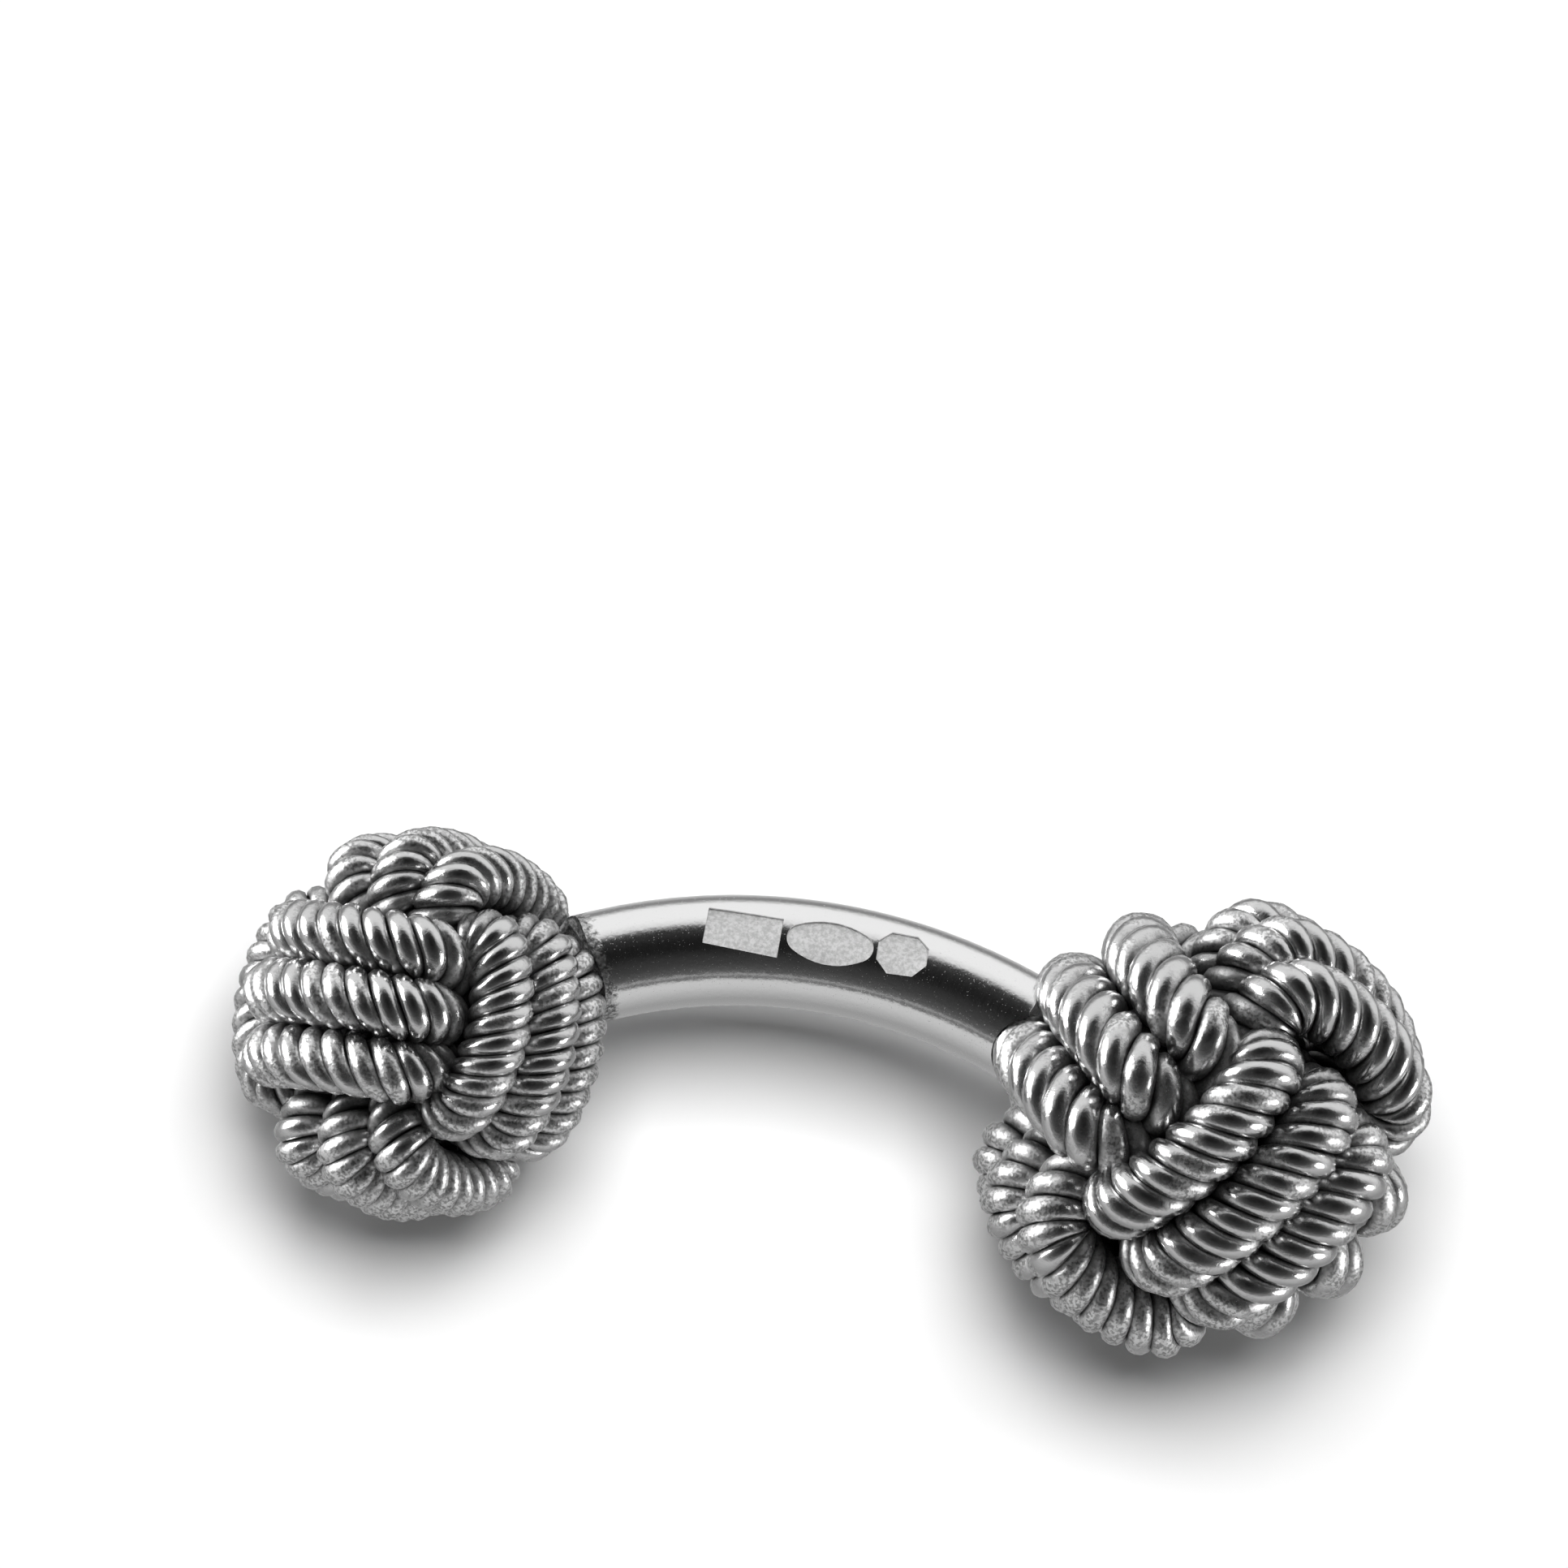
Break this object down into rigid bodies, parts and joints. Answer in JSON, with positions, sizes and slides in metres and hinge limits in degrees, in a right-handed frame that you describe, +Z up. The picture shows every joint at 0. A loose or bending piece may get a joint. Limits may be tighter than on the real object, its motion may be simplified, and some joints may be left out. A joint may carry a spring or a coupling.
{
  "type": "knot cufflink",
  "caption": "Double-ended cufflink: a curved round bar joins a large woven rope knot to a smaller one that passes through the buttonholes.",
  "frame": {"origin": "the plane that the cufflink lies on, under the middle of its overall box", "axes": "+X from the small knot to the large one, +Y the side that the bar bows to, +Z up as it lies"},
  "size_m": [0.0334, 0.0126, 0.012],
  "materials": {
    "silver": "polished, finely scratched",
    "rope_silver": "polished crests, darkened grooves",
    "dark_silver": "darkened, dull"
  },
  "bodies": {
    "root": {"bar": "silver", "large_core": "dark_silver", "small_core": "dark_silver", "large_rope_a1": "rope_silver", "large_rope_a2": "rope_silver", "large_rope_a3": "rope_silver", "large_rope_b1": "rope_silver", "large_rope_b2": "rope_silver", "large_rope_b3": "rope_silver", "large_rope_c1": "rope_silver", "large_rope_c2": "rope_silver", "large_rope_c3": "rope_silver", "small_rope_a1": "rope_silver", "small_rope_a2": "rope_silver", "small_rope_a3": "rope_silver", "small_rope_b1": "rope_silver", "small_rope_b2": "rope_silver", "small_rope_b3": "rope_silver", "small_rope_c1": "rope_silver", "small_rope_c2": "rope_silver", "small_rope_c3": "rope_silver"}
  },
  "joints": []
}
